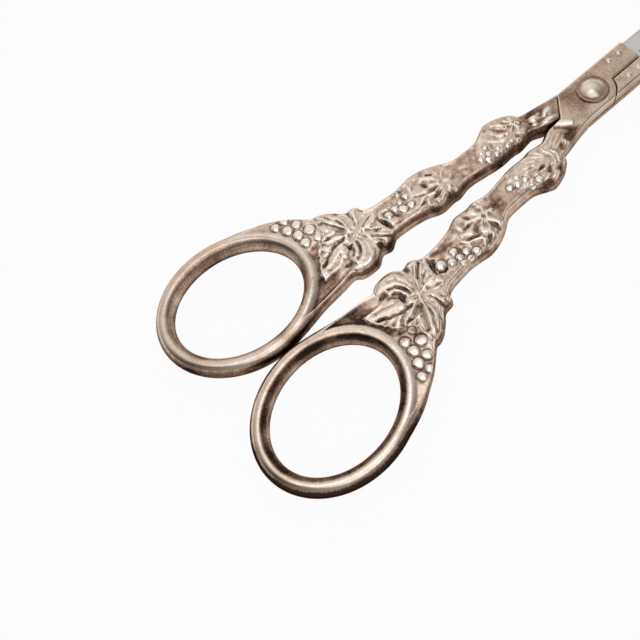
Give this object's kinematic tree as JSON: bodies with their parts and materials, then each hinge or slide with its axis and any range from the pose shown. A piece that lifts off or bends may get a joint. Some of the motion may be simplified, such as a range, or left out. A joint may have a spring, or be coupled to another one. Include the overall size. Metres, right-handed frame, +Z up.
{
  "type": "grape shears",
  "caption": "Cast silver-plated grape shears: oval finger bows, arms with vine leaves and grapes, a half-lap pivot with a domed pin, and short blunt steel blades.",
  "frame": {"origin": "centre of the underside of the closed shears' box, on the surface they lie on", "axes": "+Y from the finger bows to the blade tips, +Z up off the table, +X towards the right half, the one that turns"},
  "size_m": [0.0718, 0.17, 0.0066],
  "materials": {
    "silver_plate": "silver plate, worn bright on the high parts and tarnished brown in the recesses",
    "pivot_metal": "polished silver plate with fine scratches",
    "blade_steel": "ground steel with fine lengthwise lines"
  },
  "bodies": {
    "left_half": {"left_handle": "silver_plate", "left_blade": "blade_steel", "left_blade_rivet_1": "pivot_metal", "left_blade_rivet_2": "pivot_metal", "pivot_pin": "pivot_metal", "pivot_washer": "pivot_metal", "pivot_nut": "pivot_metal"},
    "right_half": {"right_handle": "silver_plate", "right_blade": "blade_steel", "right_blade_rivet_1": "pivot_metal", "right_blade_rivet_2": "pivot_metal"}
  },
  "joints": [
    {"name": "pivot_hinge", "type": "hinge", "parent": "left_half", "child": "right_half", "pos_m": [0, 0.03506, 0.0029], "axis": [0, 0, 1], "range_deg": [0, 45]}
  ]
}
